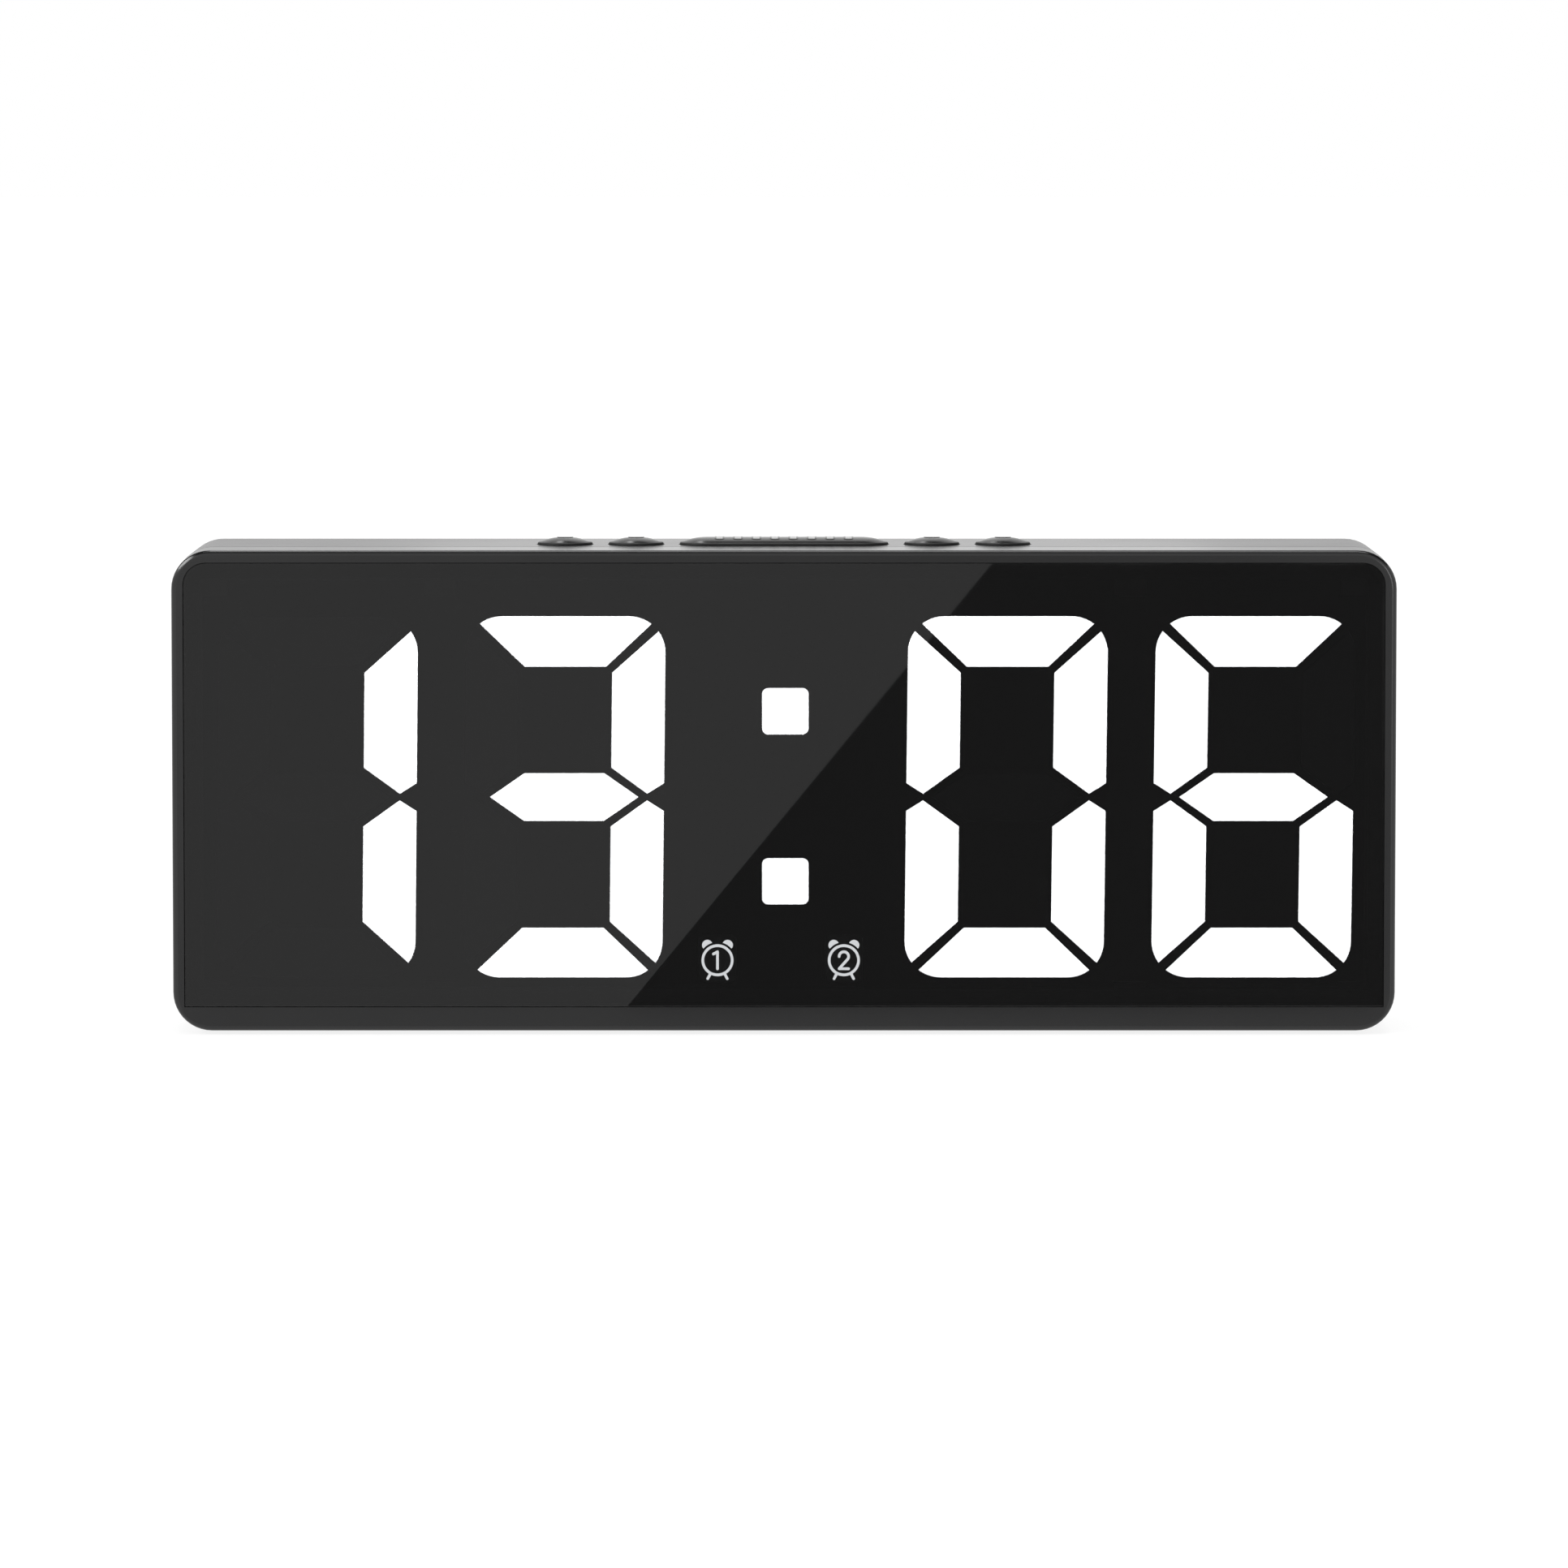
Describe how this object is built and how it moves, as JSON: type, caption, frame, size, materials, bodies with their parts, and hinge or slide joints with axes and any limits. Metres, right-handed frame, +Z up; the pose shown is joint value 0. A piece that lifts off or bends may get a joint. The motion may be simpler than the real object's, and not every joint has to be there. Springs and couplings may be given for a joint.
{
  "type": "digital desk clock",
  "caption": "Low wide desk clock with lit digits behind a dark lens, push keys on its top, a battery door and power socket at the rear, and rubber feet.",
  "frame": {"origin": "on the table, under the middle of the clock's outline", "axes": "+X to the right of someone reading the display, +Y from the front to the back, +Z up"},
  "size_m": [0.165, 0.028, 0.0666],
  "materials": {
    "case_black": "fine satin moulded black plastic",
    "key_black": "satin moulded black plastic, slightly smoother than the case",
    "smoked_lens": "clear coated smoked acrylic, polished",
    "tape_black": "double sided foam tape, dull",
    "mask_black": "matt black printed film",
    "lit_white": "white diffuser, lit from behind",
    "unlit_grey": "smoked diffuser, not lit",
    "icon_face": "white symbol on a black printed plate, lit from behind",
    "reflector_white": "white moulded plastic",
    "board_green": "green solder mask over glass fibre",
    "led_yellow": "white package with a yellow phosphor face",
    "chip_black": "moulded chip package",
    "tinned_metal": "tinned or nickel plated sheet and wire",
    "screw_steel": "zinc plated screws",
    "capacitor_sleeve": "sleeved aluminium can",
    "buzzer_black": "black moulded drum",
    "switch_black": "black switch body",
    "plunger_red": "switch plunger",
    "wire_red": "red insulated wire",
    "wire_black": "black insulated wire",
    "ribbon_grey": "flat grey ribbon lead",
    "cell_wrap": "printed cell sleeve with bare metal ends",
    "foot_rubber": "soft black rubber",
    "tongue_black": "black insulator"
  },
  "bodies": {
    "case": {"alarm_one_icon": "icon_face", "alarm_two_icon": "icon_face", "battery_lead_black": "wire_black", "battery_lead_red": "wire_red", "board_screws": "screw_steel", "buzzer": "buzzer_black", "buzzer_leads": "wire_black", "case_screws": "screw_steel", "clock_crystal": "tinned_metal", "colon_dots": "lit_white", "contact_link_left": "tinned_metal", "contact_link_right": "tinned_metal", "contact_minus": "tinned_metal", "contact_plus": "tinned_metal", "control_chip": "chip_black", "display_mask": "mask_black", "display_reflector": "reflector_white", "filter_capacitor": "capacitor_sleeve", "foot_pads": "foot_rubber", "front_frame": "case_black", "front_lens": "smoked_lens", "hour_tens_segments": "lit_white", "hour_units_segments": "lit_white", "key_board": "board_green", "key_board_lead": "ribbon_grey", "key_board_screws": "screw_steel", "lens_tape": "tape_black", "lower_cell": "cell_wrap", "main_board": "board_green", "middle_cell": "cell_wrap", "minute_tens_segments": "lit_white", "minute_units_segments": "lit_white", "power_board": "board_green", "power_board_screws": "screw_steel", "power_leads": "wire_red", "rear_shell": "case_black", "segment_leds": "led_yellow", "switch_bodies": "switch_black", "unlit_segments": "unlit_grey", "upper_cell": "cell_wrap", "usb_socket_shell": "tinned_metal", "usb_socket_tongue": "tongue_black"},
    "battery_door": {"battery_door": "case_black"},
    "left_outer_key": {"left_outer_key": "key_black", "left_outer_plunger": "plunger_red"},
    "left_inner_key": {"left_inner_key": "key_black", "left_inner_plunger": "plunger_red"},
    "snooze_key": {"snooze_key": "key_black", "snooze_plunger": "plunger_red"},
    "right_inner_key": {"right_inner_key": "key_black", "right_inner_plunger": "plunger_red"},
    "right_outer_key": {"right_outer_key": "key_black", "right_outer_plunger": "plunger_red"}
  },
  "joints": [
    {"name": "battery_door_hinge", "type": "hinge", "parent": "case", "child": "battery_door", "pos_m": [-0.038, 0.014, 0.01465], "axis": [-1, 0, 0], "range_deg": [0, 60]},
    {"name": "left_outer_key_press", "type": "slide", "parent": "case", "child": "left_outer_key", "axis": [0, 0, -1], "range_m": [0, 0.0004], "stiffness_N_per_m": 2500, "springref_m": -0.0002},
    {"name": "left_inner_key_press", "type": "slide", "parent": "case", "child": "left_inner_key", "axis": [0, 0, -1], "range_m": [0, 0.0004], "stiffness_N_per_m": 2500, "springref_m": -0.0002},
    {"name": "snooze_key_press", "type": "slide", "parent": "case", "child": "snooze_key", "axis": [0, 0, -1], "range_m": [0, 0.0004], "stiffness_N_per_m": 2500, "springref_m": -0.0002},
    {"name": "right_inner_key_press", "type": "slide", "parent": "case", "child": "right_inner_key", "axis": [0, 0, -1], "range_m": [0, 0.0004], "stiffness_N_per_m": 2500, "springref_m": -0.0002},
    {"name": "right_outer_key_press", "type": "slide", "parent": "case", "child": "right_outer_key", "axis": [0, 0, -1], "range_m": [0, 0.0004], "stiffness_N_per_m": 2500, "springref_m": -0.0002}
  ]
}
